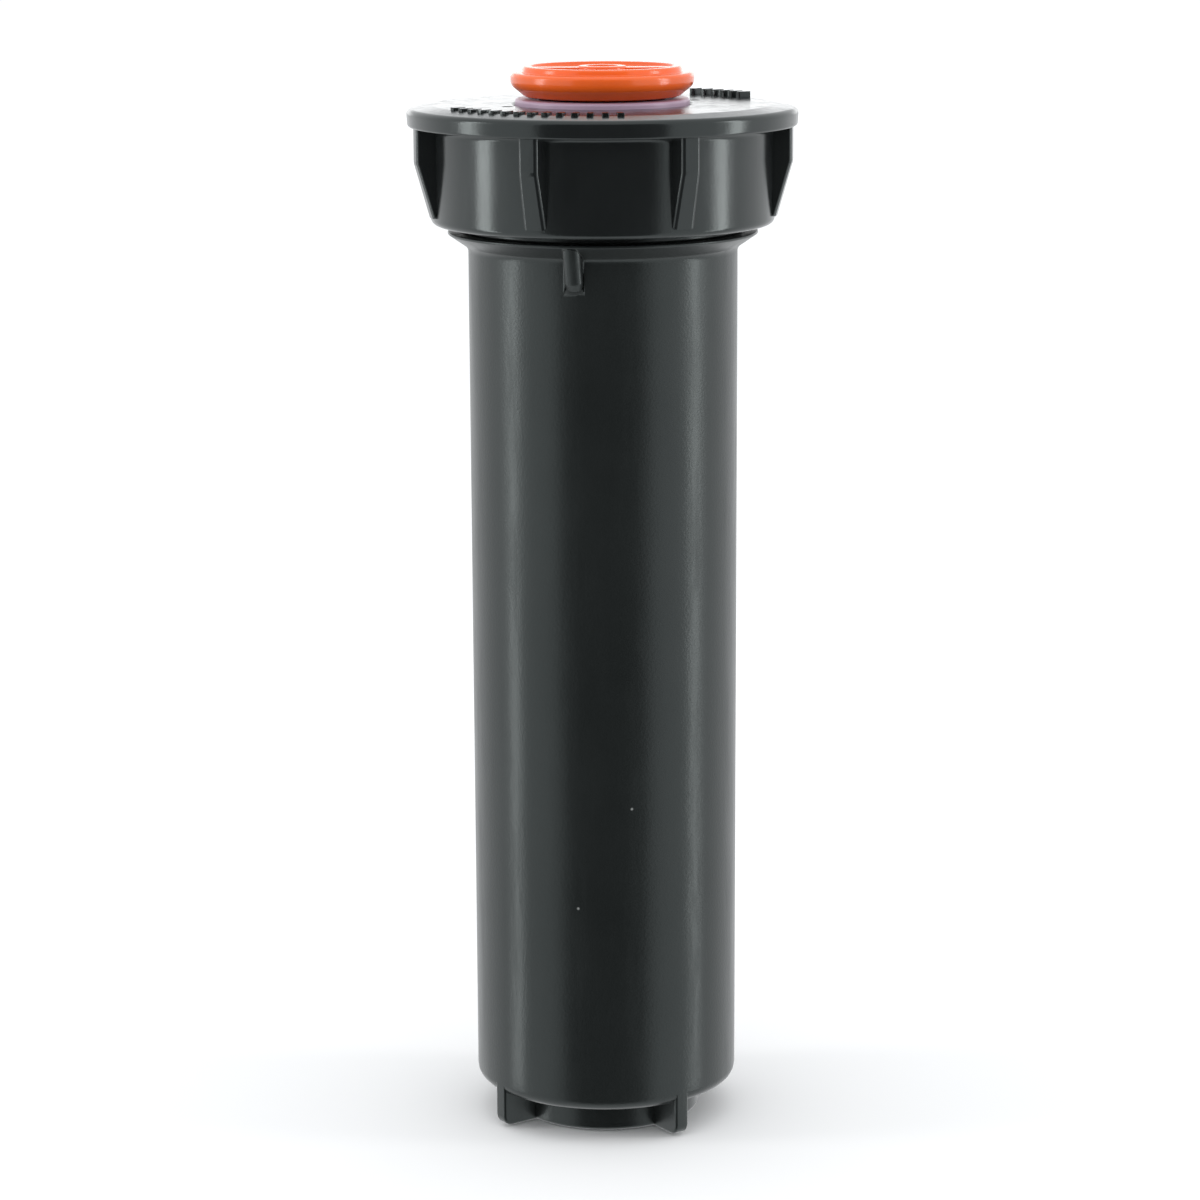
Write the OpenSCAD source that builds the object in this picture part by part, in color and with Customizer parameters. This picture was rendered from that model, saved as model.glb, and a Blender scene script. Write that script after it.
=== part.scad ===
// Pop up spray sprinkler body with its riser, seal, retract spring, in-riser pressure regulator,
// check valve and flush plug. Millimetres, +Z up. The origin is on the axis, at the level of the
// feet of the bottom fins, which is also the mouth of the threaded inlet.

/* [Travel] */
// How far the riser pops up
stroke = 100; // [60:1:150]
// Height of the case fins, which is how far the inlet boss stands below the case floor
fin_h = 4.8; // [3:0.1:8]

/* [Case] */
// Outside diameter of the case at its collar
case_od = 39.4; // [39:0.1:60]
// How much the case radius shrinks from collar to floor, the moulding draft
case_draft = 0.1; // [0:0.1:0.8]
// Wall of the case tube
case_wall = 2.4; // [1.6:0.1:3]
// Thickness of the case floor
floor_t = 3; // [2:0.1:5]
// Radius of the case's bottom edge
case_edge = 1; // [0.4:0.1:2]
// How far the neck stands out from the case
neck_step = 0.6; // [0.3:0.1:1.2]
// How far the collar stands out from the case
collar_depth = 3; // [1.5:0.1:5]
// Height of the collar's sloping underside
collar_h = 2.4; // [1.5:0.1:6]
// Number of gussets under the collar
gusset_count = 3; // [2:1:8]
// Length of plain neck that shows between the collar and the cap
neck_gap = 1; // [1:0.1:6]
// Depth of the guide ribs inside the case
guide_depth = 1.2; // [0.8:0.1:2]
// Width of a guide rib
guide_w = 2; // [1.5:0.1:4]

/* [Inlet] */
// Radius of the threaded inlet, at mid height of a half inch pipe thread
inlet_r = 9.16; // [6:0.01:10.5]
// How deep the pipe goes into the inlet
inlet_depth = 16; // [12:0.5:18]
// Wall of the inlet socket inside the case
socket_wall = 2.6; // [2:0.1:3.2]
// Outside diameter of the inlet boss below the floor
boss_od = 28; // [25:0.5:34]
// Thickness of a bottom fin
fin_t = 2.3; // [1.5:0.1:4]

/* [Cap] */
// Height of the cap from the end of its skirt to its top face
cap_h = 17.3; // [15:0.1:24]
// Thickness of the cap's top plate
cap_plate = 3; // [2:0.1:5]
// Thickness of the cap flange at its rim
flange_t = 3.1; // [2:0.1:5]
// Wall of the cap skirt outside its thread
cap_wall = 2.9; // [2:0.1:5]
// Number of grip ribs round the cap
grip_count = 7; // [5:1:16]
// Width of a grip rib
grip_w = 2.8; // [1.5:0.1:5]
// How far a grip rib stands out from the skirt
grip_depth = 2.7; // [1:0.1:5]
// How far each grip rib is turned towards its neighbour, in degrees, so that they stand in pairs
grip_pairing = 1.4; // [0:0.1:4]
// How far the flange reaches past the grip ribs
flange_lip = 0.7; // [0:0.1:3]

/* [Cap thread] */
// Pitch of the coarse thread that holds the cap
cap_pitch = 3; // [2.6:0.1:3.6]
// Depth of the thread ridges
thread_depth = 1.5; // [1:0.1:1.8]
// Turns of ridge on the neck and in the cap
thread_turns = 2.25; // [1:0.25:2.5]

/* [Riser] */
// Outside diameter of the riser tube
riser_od = 19; // [16:0.5:23]
// Wall of the riser tube
riser_wall = 1.6; // [1.2:0.1:1.8]
// Wall of the bell at the riser's foot
bell_wall = 1.2; // [0.8:0.1:1.6]
// Number of ratchet teeth between the riser and its keyed ring
teeth = 36; // [18:1:48]

/* [Retract spring] */
// Wire diameter
wire_d = 1.2; // [0.8:0.05:1.6]
// Number of coils
coils = 12; // [6:1:20]

/* [Wiper seal] */
// Thickness of the seal flange held under the cap
seal_flange = 2; // [1.2:0.1:3]
// Wall of the seal neck round the riser
seal_neck = 3.2; // [1.2:0.1:3.4]

/* [Flush plug] */
// Diameter of the plug's disc
plug_od = 26.6; // [24:0.2:34]
// Thickness of the disc at its rim
plug_rim_h = 3.5; // [2:0.1:5]
// How far the pull ring stands above the disc's rim
plug_ring_h = 0.9; // [0.6:0.1:3]
// Length of the spigot inside the riser
spigot_h = 12; // [8:0.5:16]

/* [Regulator] */
// How far the plunger travels
plunger_travel = 1.6; // [1:0.1:2.5]
// Length of the regulator's spring chamber
chamber_h = 20; // [16:0.5:28]
// Radius of the plunger's tube
plunger_r = 3.35; // [2.8:0.05:3.8]
// Coils of the regulator's spring
reg_coils = 7; // [4:1:10]

/* [Hidden] */
$fn = 96;

// Directions, in degrees from +X
fin_turn = 35.3;
collar_gusset_turn = 18;
grip_turn = 40.8;
quarter = 90;

// Clearances
slip = 0.4;         // between plastic pieces that slide or turn past each other
glide = 0.05;       // between a seal lip or a piston and what it runs on
seat_gap = 0.1;     // under the check valve's seal
tooth_gap = 0.2;    // between the two rings of ratchet teeth
sink = 0.4;         // how deep a rib or a ridge is rooted in its wall

// The inlet and the floor of the case, from the bottom up
floor_z = fin_h + floor_t;
stop_t = 1.6;
stop_depth = 1.6;
stop_r = inlet_r - stop_depth;
seat_z = inlet_depth + stop_t;
socket_r = inlet_r + socket_wall;
boss_r = boss_od / 2;
mouth_chamfer = 0.8;

// The foot of the riser
foot_gap = 0.6;
foot_z = floor_z + foot_gap;
foot_t = 2.4;
tooth_h = 1.2;
tooth_back = 0.3;
ring_t = 2;
ratchet_z = foot_z + foot_t + tooth_h + tooth_gap;
ratchet_top_z = ratchet_z + tooth_h + ring_t;

// The retract spring, closed up when the riser is out
spring_z = ratchet_top_z;
spring_closed_h = coils * wire_d + 2 * wire_d;
spring_top_z = spring_z + stroke + spring_closed_h;

// The support ring, the seal and the cap, from the spring's top up
support_h = 14.8;
support_web = 2;
rim_z = spring_top_z + support_h;
plate_z = rim_z + seal_flange;
cap_top_z = plate_z + cap_plate;
skirt_z = cap_top_z - cap_h;
flange_z = cap_top_z - flange_t;

// The case, from its axis out
case_r = case_od / 2;
case_foot_r = case_r - case_draft;
bore_r = case_r - case_wall;
guide_r = bore_r - guide_depth;
neck_r = case_r + neck_step;
collar_r = case_r + collar_depth;
collar_z = skirt_z - neck_gap;
collar_foot_z = collar_z - collar_h;
gusset_drop = 7;
gusset_foot_depth = 1.2;
gusset_t = 2.6;
guide_end_gap = 3;
guide_top_z = spring_top_z - guide_end_gap;

// The cap, from its axis out
thread_clear = 0.4;
neck_crest_r = neck_r + thread_depth;
cap_root_r = neck_crest_r + thread_clear;
skirt_r = cap_root_r + cap_wall;
grip_r = skirt_r + grip_depth;
flange_r = grip_r + flange_lip;
grip_shoulder_drop = 4.9;
grip_shoulder_z = flange_z - grip_shoulder_drop;
flange_round = 1.2;
mark_inset = 4.6;
mark_r = flange_r - mark_inset;
mark_l = 2;
mark_w = 1;
mark_h = 0.6;
mark_step = 5;
front_mark_turn = 211;
front_marks = 14;
rear_mark_turn = 29;
rear_marks = 6;
segments = 48;
ridge_root = cap_pitch / 2;
ridge_crest = 0.8;
ridge_start = 2.9;
neck_ridge_z = skirt_z + ridge_start;
cap_ridge_z = neck_ridge_z + cap_pitch / 2;

// The riser and its foot, from the axis out
riser_r = riser_od / 2;
riser_bore_r = riser_r - riser_wall;
bell_bore_r = socket_r + slip;
bell_r = bell_bore_r + bell_wall;
foot_r = guide_r - slip;
spring_r = (bell_r + guide_r) / 2;
cage_h = 4.8;
valve_seal_t = 1.4;
cage_z = seat_z + seat_gap + valve_seal_t;
bell_roof_z = cage_z + cage_h;
riser_stand = 0.9;
riser_top_z = cap_top_z + riser_stand;
roof_t = 1;

// The seal
neck_out_r = riser_r + glide + seal_neck;
seal_stand = 0.8;
seal_top_z = cap_top_z + seal_stand;
opening_clear = 0.2;
opening_r = neck_out_r + opening_clear;
seal_lip = 1;
seal_lip_drop = 6.5;
support_wall = 1.8;
support_r = bore_r - slip;
support_hole_r = riser_r + 0.8;

// The flush plug
plug_gap = 0.15;
plug_z = riser_top_z + plug_gap;
plug_r = plug_od / 2;
plug_ledge = 1.8;
plug_ring_r = plug_r - plug_ledge;
plug_ring_wall = 1.4;
plug_dish_t = 1.8;
plug_dish_depth = 0.5;
plug_dish_z = plug_z + plug_rim_h + plug_ring_h - plug_dish_depth;
plug_foot_round = 2.2;
pull_bar_w = 2.6;
pull_hub_r = 3.6;
pull_bar_drop = 0.2;
spigot_clear = 0.3;
spigot_wall = 2.8;
spigot_r = riser_bore_r - spigot_clear;
spigot_bore_r = spigot_r - spigot_wall;
plug_groove_rise = 3.5;
plug_groove_z = plug_z - spigot_h + plug_groove_rise;

// The check valve and the cage in the riser's foot
valve_seal_z = seat_z + seat_gap;
valve_seal_lap = 2.8;
valve_seal_r = stop_r + valve_seal_lap;
cage_disc_t = 1.4;
cage_spigot = 3.7;
cage_r = riser_bore_r - glide;
cage_post_w = 3;
rivet_r = 1.9;
rivet_head_r = 4;
rivet_head_t = 1;

// The regulator, from its foot up
housing_clear = 0.1;
housing_wall = 1.9;
housing_r = riser_bore_r - housing_clear;
chamber_r = housing_r - housing_wall;
housing_z = bell_roof_z + cage_spigot;
inflow_h = 5;
partition_z = housing_z + inflow_h;
partition_t = 3;
chamber_z = partition_z + partition_t;
housing_top_z = chamber_z + chamber_h;
reg_seat_t = 1.4;
reg_seat_r = 3;
plunger_rest_gap = 0.2;
plunger_wall = 1.15;
plunger_z = housing_z + reg_seat_t + plunger_travel + plunger_rest_gap;
plunger_bore_r = plunger_r - plunger_wall;
head_t = 3.5;
head_stop_gap = 1.5;
head_clear = 0.1;
head_z = housing_top_z - head_stop_gap - head_t;
head_r = chamber_r - head_clear;
reg_wire_d = 0.8;
reg_spring_r = (plunger_r + chamber_r) / 2;
end_cap_t = 2.4;

// O-rings: each has the radius of its round section
ring_s = 0.8;
small_ring_s = 0.66;
housing_ring_z = [housing_z + 2.2, partition_z + 1.2];

function arc(centre, r, from, to, steps = 6) =
    [for (i = [0:steps]) let (a = from + (to - from) * i / steps) centre + r * [cos(a), sin(a)]];

// A square groove, as a profile beside the axis, for a ring of round section s
module groove(inner, outer, mid_z, s) {
    translate([inner, mid_z - s - 0.05]) square([outer - inner, 2 * s + 0.1]);
}

// A ring of round section
module o_ring(centre_r, mid_z, s) {
    rotate_extrude() translate([centre_r, mid_z]) circle(r = s, $fn = 32);
}

// A flat plate that stands on edge along a radius, cut to an outline of radius and height
module radial_plate(turn, t, outline) {
    rotate([0, 0, turn]) rotate([quarter, 0, 0])
        linear_extrude(height = t, center = true) polygon(outline);
}

// A round wire wound about the axis
module coil_spring(mean_r, wire, z0, z1, turns, per_turn, sides) {
    n = turns * per_turn;
    rise = z1 - z0 - wire;
    points = [for (i = [0:n]) let (turn = 360 * i / per_turn, z = z0 + wire / 2 + rise * i / n)
        for (k = [0:sides - 1]) let (a = 360 * k / sides, r = mean_r + wire / 2 * cos(a))
            [r * cos(turn), r * sin(turn), z + wire / 2 * sin(a)]];
    walls = [for (i = [0:n - 1]) for (k = [0:sides - 1]) let (k2 = (k + 1) % sides)
        [i * sides + k, i * sides + k2, (i + 1) * sides + k2, (i + 1) * sides + k]];
    near_end = [for (k = [sides - 1:-1:0]) k];
    far_end = [for (k = [0:sides - 1]) n * sides + k];
    polyhedron(points, concat(walls, [near_end, far_end]), convexity = 20);
}

// A right-hand ridge of trapezium section: root_r is buried in the wall, crest_r is the free edge
module thread_ridge(root_r, crest_r, z0) {
    n = thread_turns * segments;
    side = crest_r > root_r ? 1 : -1;
    ends = segments / 8;
    points = [for (i = [0:n]) let (turn = 360 * i / segments, z = z0 + cap_pitch * i / segments,
            swell = min(1, min(i, n - i) / ends), r = root_r + (crest_r - root_r) * (0.2 + 0.8 * swell))
        for (p = [[root_r, -ridge_root / 2], [r, -ridge_crest / 2], [r, ridge_crest / 2],
                [root_r, ridge_root / 2]])
            [p[0] * cos(turn), p[0] * sin(turn), z + p[1]]];
    walls = [for (i = [0:n - 1]) for (k = [0:3]) let (k2 = (k + 1) % 4, a = i * 4, b = a + 4)
        side > 0 ? [a + k, a + k2, b + k2, b + k] : [b + k, b + k2, a + k2, a + k]];
    near_end = side > 0 ? [3, 2, 1, 0] : [0, 1, 2, 3];
    far_end = side > 0 ? [for (k = [0:3]) n * 4 + k] : [for (k = [3:-1:0]) n * 4 + k];
    polyhedron(points, concat(walls, [near_end, far_end]), convexity = 10);
}

// A ring of saw teeth: dir is 1 for teeth that point up and -1 for teeth that point down
module ratchet_teeth(inner, outer, root_z, dir) {
    pitch = 360 / teeth;
    w = 2 * inner * sin(pitch / 2) * 0.96;
    for (i = [0:teeth - 1]) {
        rotate([0, 0, i * pitch + (dir < 0 ? pitch / 2 : 0)]) translate([inner, 0, root_z])
            rotate([quarter, 0, quarter]) linear_extrude(height = outer - inner)
                polygon([[-w / 2, -dir * sink], [w / 2, -dir * sink], [w / 2, 0],
                    [w / 2 - tooth_back, dir * tooth_h], [-w / 2, 0]]);
    }
}

// Case: one moulding with the inlet socket, the collar, the threaded neck and the guide ribs
module case() {
    color("#222324") {
        rotate_extrude() polygon(concat(
            [[inlet_r, mouth_chamfer], [inlet_r + mouth_chamfer, 0]],
            arc([boss_r - 0.6, 0.6], 0.6, -90, 0, 3),
            [[boss_r, fin_h]],
            arc([case_foot_r - case_edge, fin_h + case_edge], case_edge, -90, 0),
            [[case_r, collar_foot_z], [collar_r - 0.3, collar_z - 0.4]],
            arc([collar_r - 0.4, collar_z - 0.3], 0.3, 0, 90, 3),
            [[neck_r, collar_z], [neck_r, rim_z - 0.5], [neck_r - 0.5, rim_z], [bore_r, rim_z],
                [bore_r, floor_z], [socket_r, floor_z], [socket_r, seat_z], [stop_r, seat_z],
                [stop_r, inlet_depth], [inlet_r, inlet_depth]]));
        thread_ridge(neck_r - sink, neck_crest_r, neck_ridge_z);
        for (i = [0:3]) {
            radial_plate(fin_turn + i * quarter, fin_t, concat(
                [[boss_r - sink, fin_h + sink], [boss_r - sink, 0]],
                arc([case_foot_r - 1.4, 1.4], 1.4, -90, 0),
                [[case_foot_r, fin_h + case_edge + sink], [boss_r + sink, fin_h + case_edge + sink]]));
            radial_plate(i * quarter, guide_w,
                [[guide_r, floor_z - sink], [bore_r + sink, floor_z - sink],
                    [bore_r + sink, guide_top_z], [guide_r, guide_top_z - 1]]);
        }
        for (i = [0:gusset_count - 1])
            radial_plate(collar_gusset_turn + i * 360 / gusset_count, gusset_t,
                [[case_r - sink, collar_z - gusset_drop], [case_r, collar_z - gusset_drop],
                    [case_r + gusset_foot_depth, collar_z - gusset_drop + gusset_foot_depth],
                    [collar_r - 0.3, collar_z - 0.8], [case_r - sink, collar_z - 0.8]]);
    }
}

// Cap: flange, threaded skirt and grip ribs, with raised turning marks on its top
module cap() {
    color("#161718") {
        rotate_extrude() polygon(concat(
            [[cap_root_r, skirt_z + 0.6], [cap_root_r + 0.6, skirt_z], [skirt_r, skirt_z],
                [skirt_r, flange_z]],
            arc([flange_r - 0.4, flange_z + 0.4], 0.4, -90, 0, 3),
            arc([flange_r - flange_round, cap_top_z - flange_round], flange_round, 0, 90),
            arc([opening_r + 0.6, cap_top_z - 0.6], 0.6, 90, 180, 3),
            [[opening_r, plate_z], [cap_root_r, plate_z]]));
        thread_ridge(cap_root_r + sink, cap_root_r - thread_depth, cap_ridge_z);
        for (i = [0:grip_count - 1]) {
            radial_plate(grip_turn + i * 360 / grip_count + (i % 2 == 0 ? 1 : -1) * grip_pairing, grip_w,
                [[skirt_r - sink, skirt_z], [skirt_r + 0.1, skirt_z], [grip_r, grip_shoulder_z],
                    [grip_r, flange_z + sink], [skirt_r - sink, flange_z + sink]]);
        }
        for (row = [[front_mark_turn, front_marks], [rear_mark_turn, rear_marks]]) {
            for (i = [0:row[1] - 1]) {
                rotate([0, 0, row[0] + i * mark_step])
                    translate([mark_r - mark_l / 2, -mark_w / 2, cap_top_z - sink])
                        cube([mark_l, mark_w, mark_h + sink]);
            }
        }
    }
}

// Wiper seal: a flange clamped under the cap, a neck that stands out round the riser, and two lips
module wiper_seal() {
    lip_z = rim_z - seal_lip_drop;
    outer_lip_r = support_r - support_wall - 0.2;
    color("#ad95ab") rotate_extrude() polygon(concat(
        [[riser_r + glide, lip_z], [riser_r + glide + 0.5 * seal_lip, lip_z],
            [riser_r + glide + 1.2 * seal_lip, rim_z - 0.8], [outer_lip_r - seal_lip, rim_z - 0.8],
            [outer_lip_r - seal_lip, lip_z + 1], [outer_lip_r, lip_z + 1], [outer_lip_r, rim_z],
            [neck_r - 0.5, rim_z], [neck_r - 0.5, plate_z], [neck_out_r, plate_z]],
        arc([neck_out_r - 0.7, seal_top_z - 0.7], 0.7, 0, 90, 4),
        [[riser_r + glide + 0.5, seal_top_z], [riser_r + glide, seal_top_z - 0.6]]));
}

// Seal support ring: holds the seal up in the cap and is the upper seat of the retract spring
module seal_support_ring() {
    color("#3a3c3e") rotate_extrude() polygon(
        [[support_hole_r, spring_top_z], [support_r - 0.4, spring_top_z], [support_r, spring_top_z + 0.4],
            [support_r, rim_z], [support_r - support_wall, rim_z],
            [support_r - support_wall, spring_top_z + support_web],
            [support_hole_r, spring_top_z + support_web]]);
}

// Retract spring: stainless wire, pushed down on the ratchet ring, which pulls the riser back
module retract_spring() {
    color("#b9bbbd") coil_spring(spring_r, wire_d, spring_z, spring_top_z, coils, 16, 6);
}

// Ratchet ring: keyed on the case's guide ribs, so the riser can be turned in steps to aim it
module ratchet_ring() {
    key_w = guide_w + 2 * slip;
    inner = bell_r + slip;
    outer = bore_r - slip;
    color("#d8d6cf") {
        difference() {
            translate([0, 0, ratchet_z + tooth_h]) cylinder(r = outer, h = ring_t);
            translate([0, 0, ratchet_z]) cylinder(r = inner, h = tooth_h + ring_t + 1);
            for (i = [0:3]) {
                rotate([0, 0, i * quarter]) translate([guide_r - slip, -key_w / 2, ratchet_z])
                    cube([guide_depth + 2, key_w, tooth_h + ring_t + 1]);
            }
        }
        ratchet_teeth(inner + 0.2, foot_r - 0.2, ratchet_z + tooth_h, -1);
    }
}

// Riser stem: the tube that pops up, with a bell foot that drops round the inlet socket
module riser_stem() {
    color("#2a2b2c") {
        rotate_extrude() polygon(
            [[bell_bore_r, foot_z], [foot_r, foot_z], [foot_r, foot_z + foot_t],
                [bell_r, foot_z + foot_t], [bell_r, bell_roof_z + roof_t],
                [riser_r, bell_roof_z + roof_t + (bell_r - riser_r)], [riser_r, riser_top_z - 0.5],
                [riser_r - 0.5, riser_top_z], [riser_bore_r + 0.3, riser_top_z],
                [riser_bore_r, riser_top_z - 0.3], [riser_bore_r, bell_roof_z],
                [bell_bore_r, bell_roof_z]]);
        ratchet_teeth(bell_r + slip + 0.2, foot_r - 0.2, foot_z + foot_t, 1);
    }
}

// Inlet cage: the open basket under the riser that lets water in round the check valve's disc
module inlet_cage() {
    hub_r = reg_seat_r + 0.4;
    color("#9a9c9e") {
        difference() {
            translate([0, 0, cage_z]) cylinder(r = valve_seal_r - 0.4, h = cage_disc_t);
            translate([0, 0, cage_z - 1]) cylinder(r = rivet_r, h = cage_disc_t + 2);
        }
        for (i = [0:3]) {
            rotate([0, 0, i * quarter]) {
                translate([cage_r - 2, -cage_post_w / 2, cage_z + cage_disc_t - 0.2])
                    cube([1.8, cage_post_w, cage_h - cage_disc_t + 0.4]);
                translate([hub_r - sink, -cage_post_w / 4, bell_roof_z])
                    cube([cage_r - hub_r - 0.6, cage_post_w / 2, cage_spigot]);
            }
        }
        difference() {
            translate([0, 0, bell_roof_z]) cylinder(r = cage_r, h = cage_spigot);
            translate([0, 0, bell_roof_z - 1]) cylinder(r = cage_r - 1.4, h = cage_spigot + 2);
        }
        translate([0, 0, bell_roof_z]) cylinder(r = hub_r, h = cage_spigot);
    }
}

// Check valve seal: a rubber disc that closes the inlet when the riser is down
module check_valve_seal() {
    color("#1d1d1f") difference() {
        translate([0, 0, valve_seal_z]) cylinder(r = valve_seal_r, h = cage_z - valve_seal_z);
        translate([0, 0, valve_seal_z - 1]) cylinder(r = rivet_r, h = cage_z - valve_seal_z + 2);
    }
}

// Check valve rivet: pushed up through the seal into the cage
module check_valve_rivet() {
    color("#d8d6cf") {
        translate([0, 0, valve_seal_z - rivet_head_t]) cylinder(r = rivet_head_r, h = rivet_head_t);
        translate([0, 0, valve_seal_z - rivet_head_t / 2])
            cylinder(r = rivet_r, h = cage_z - valve_seal_z + cage_disc_t + rivet_head_t / 2);
    }
}

// Regulator housing: a sleeve fixed in the riser, with a partition that the plunger passes through
module regulator_housing() {
    color("#e4e2da") rotate_extrude() difference() {
        translate([plunger_r + slip / 4, housing_z])
            square([housing_r - plunger_r - slip / 4, housing_top_z - housing_z]);
        translate([0, housing_z - 1]) square([chamber_r, inflow_h + 1]);
        translate([0, chamber_z]) square([chamber_r, chamber_h + 1]);
        groove(0, plunger_r + 2 * ring_s + 0.1, partition_z + partition_t / 2, ring_s);
        for (z = housing_ring_z) {
            groove(riser_bore_r - glide - 2 * small_ring_s, riser_bore_r, z, small_ring_s);
        }
    }
}

// Regulator end cap: closes the spring chamber and stops the plunger at the top
module regulator_end_cap() {
    color("#d8d6cf") rotate_extrude() translate([plunger_r + 0.8, housing_top_z])
        square([housing_r - plunger_r - 0.8, end_cap_t]);
}

// Regulator seat: the soft disc on the cage's hub that the plunger closes on
module regulator_seat() {
    color("#1d1d1f") translate([0, 0, housing_z]) cylinder(r = reg_seat_r, h = reg_seat_t);
}

// Regulator plunger: a hollow piston that water flows up through, held open by its spring
module regulator_plunger() {
    color("#c9c7bf") rotate_extrude() difference() {
        union() {
            translate([plunger_bore_r, plunger_z])
                square([plunger_r - plunger_bore_r, head_z + head_t - plunger_z]);
            translate([plunger_bore_r, head_z]) square([head_r - plunger_bore_r, head_t]);
        }
        groove(chamber_r - glide - 2 * ring_s, chamber_r + 1, head_z + head_t / 2, ring_s);
    }
}

// Regulator spring: holds the plunger off its seat until the pressure in the riser is high enough
module regulator_spring() {
    color("#b9bbbd") coil_spring(reg_spring_r, reg_wire_d, chamber_z, head_z, reg_coils, 14, 6);
}

// Upper O-ring: in the plunger's head, and moves with it
module plunger_upper_o_ring() {
    color("#1d1d1f") o_ring(chamber_r - glide - ring_s, head_z + head_t / 2, ring_s);
}

// Lower O-ring: in the housing's partition, round the plunger's tube
module plunger_lower_o_ring() {
    color("#1d1d1f") o_ring(plunger_r + glide + ring_s, partition_z + partition_t / 2, ring_s);
}

// Housing O-rings: seal the regulator in the riser
module housing_o_rings() {
    color("#1d1d1f") for (z = housing_ring_z) {
        o_ring(riser_bore_r - glide - small_ring_s, z, small_ring_s);
    }
}

// Flush plug: a dished disc with a pull bar, pushed into the riser's top in place of the nozzle
module flush_plug() {
    inner_ring_r = plug_ring_r - plug_ring_wall;
    ring_top_z = plug_z + plug_rim_h + plug_ring_h;
    color("#d4491a") {
        rotate_extrude()
            polygon(concat([[0, plug_dish_z - plug_dish_t], [spigot_bore_r, plug_dish_z - plug_dish_t],
                    [spigot_bore_r, plug_z]],
                arc([plug_r - plug_foot_round, plug_z + plug_foot_round], plug_foot_round, -90, 0),
                arc([plug_r - 0.5, plug_z + plug_rim_h - 0.5], 0.5, 0, 90, 3),
                [[plug_ring_r + 0.3, plug_z + plug_rim_h]],
                arc([plug_ring_r - 0.4, ring_top_z - 0.4], 0.4, 0, 90, 3),
                [[inner_ring_r + 0.3, ring_top_z], [inner_ring_r, ring_top_z - 0.3],
                    [inner_ring_r, plug_dish_z], [0, plug_dish_z]]));
        translate([-inner_ring_r - sink, -pull_bar_w / 2, plug_dish_z - sink])
            cube([2 * (inner_ring_r + sink), pull_bar_w, sink + plug_dish_depth - pull_bar_drop]);
        translate([0, 0, plug_dish_z - sink]) cylinder(r = pull_hub_r, h = sink + plug_dish_depth);
        rotate_extrude() difference() {
            translate([spigot_bore_r, plug_z - spigot_h])
                square([spigot_r - spigot_bore_r, spigot_h + 0.5]);
            groove(riser_bore_r - glide - 2 * ring_s, riser_r, plug_groove_z, ring_s);
        }
    }
}

// Plug O-ring: grips the riser's bore
module plug_o_ring() {
    color("#1d1d1f") o_ring(riser_bore_r - glide - ring_s, plug_groove_z, ring_s);
}

case();
cap();
wiper_seal();
seal_support_ring();
retract_spring();
ratchet_ring();
riser_stem();
inlet_cage();
check_valve_seal();
check_valve_rivet();
regulator_housing();
regulator_end_cap();
regulator_seat();
regulator_plunger();
regulator_spring();
plunger_upper_o_ring();
plunger_lower_o_ring();
housing_o_rings();
flush_plug();
plug_o_ring();
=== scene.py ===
import math

import bmesh
import bpy
from mathutils import Matrix, Vector


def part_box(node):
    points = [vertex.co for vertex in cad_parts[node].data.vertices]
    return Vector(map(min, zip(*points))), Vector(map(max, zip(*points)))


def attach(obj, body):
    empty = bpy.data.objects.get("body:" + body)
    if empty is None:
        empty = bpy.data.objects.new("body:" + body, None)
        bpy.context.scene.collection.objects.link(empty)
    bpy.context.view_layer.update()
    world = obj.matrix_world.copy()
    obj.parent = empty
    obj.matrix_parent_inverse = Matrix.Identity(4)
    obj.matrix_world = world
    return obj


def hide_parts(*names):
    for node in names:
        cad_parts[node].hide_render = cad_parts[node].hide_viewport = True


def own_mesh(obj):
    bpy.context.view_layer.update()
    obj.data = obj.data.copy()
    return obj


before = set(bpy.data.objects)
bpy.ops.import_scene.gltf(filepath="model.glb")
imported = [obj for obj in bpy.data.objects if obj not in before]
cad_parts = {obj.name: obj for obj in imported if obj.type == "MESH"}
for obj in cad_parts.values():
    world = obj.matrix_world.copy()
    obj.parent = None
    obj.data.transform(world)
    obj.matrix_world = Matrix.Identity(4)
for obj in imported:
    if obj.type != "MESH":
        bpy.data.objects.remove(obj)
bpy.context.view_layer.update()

MM = 0.001


# ---- Studio ------------------------------------------------------------------------------------
# A plain pale floor, a soft white surround, a tall strip light on each side, a low wide light far
# behind for level faces, and a black card behind the camera, so that dark plastic shows dark in
# front and pale down its sides.
camera_distance = 530.6 * MM
camera_height = 189 * MM
camera_pitch = 11.78
camera_roll = -0.24
camera_lens = 108.9
camera_shift = -0.0037
look_z = 0.09
floor_size = 40
floor_gap = 0.4 * MM
card_reach = 0.95

camera = bpy.data.objects.new("camera", bpy.data.cameras.new("camera"))
bpy.context.scene.collection.objects.link(camera)
camera.data.sensor_width = 36
camera.data.lens = camera_lens
camera.data.clip_start = 0.01
camera.data.clip_end = 60
camera.data.shift_x = camera_shift
camera.location = (0, -camera_distance, camera_height)
camera.rotation_euler = (math.radians(90 - camera_pitch), 0, 0)
camera.rotation_euler = (camera.rotation_euler.to_matrix()
                         @ Matrix.Rotation(math.radians(camera_roll), 3, "Z")).to_euler()
bpy.context.scene.camera = camera


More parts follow.
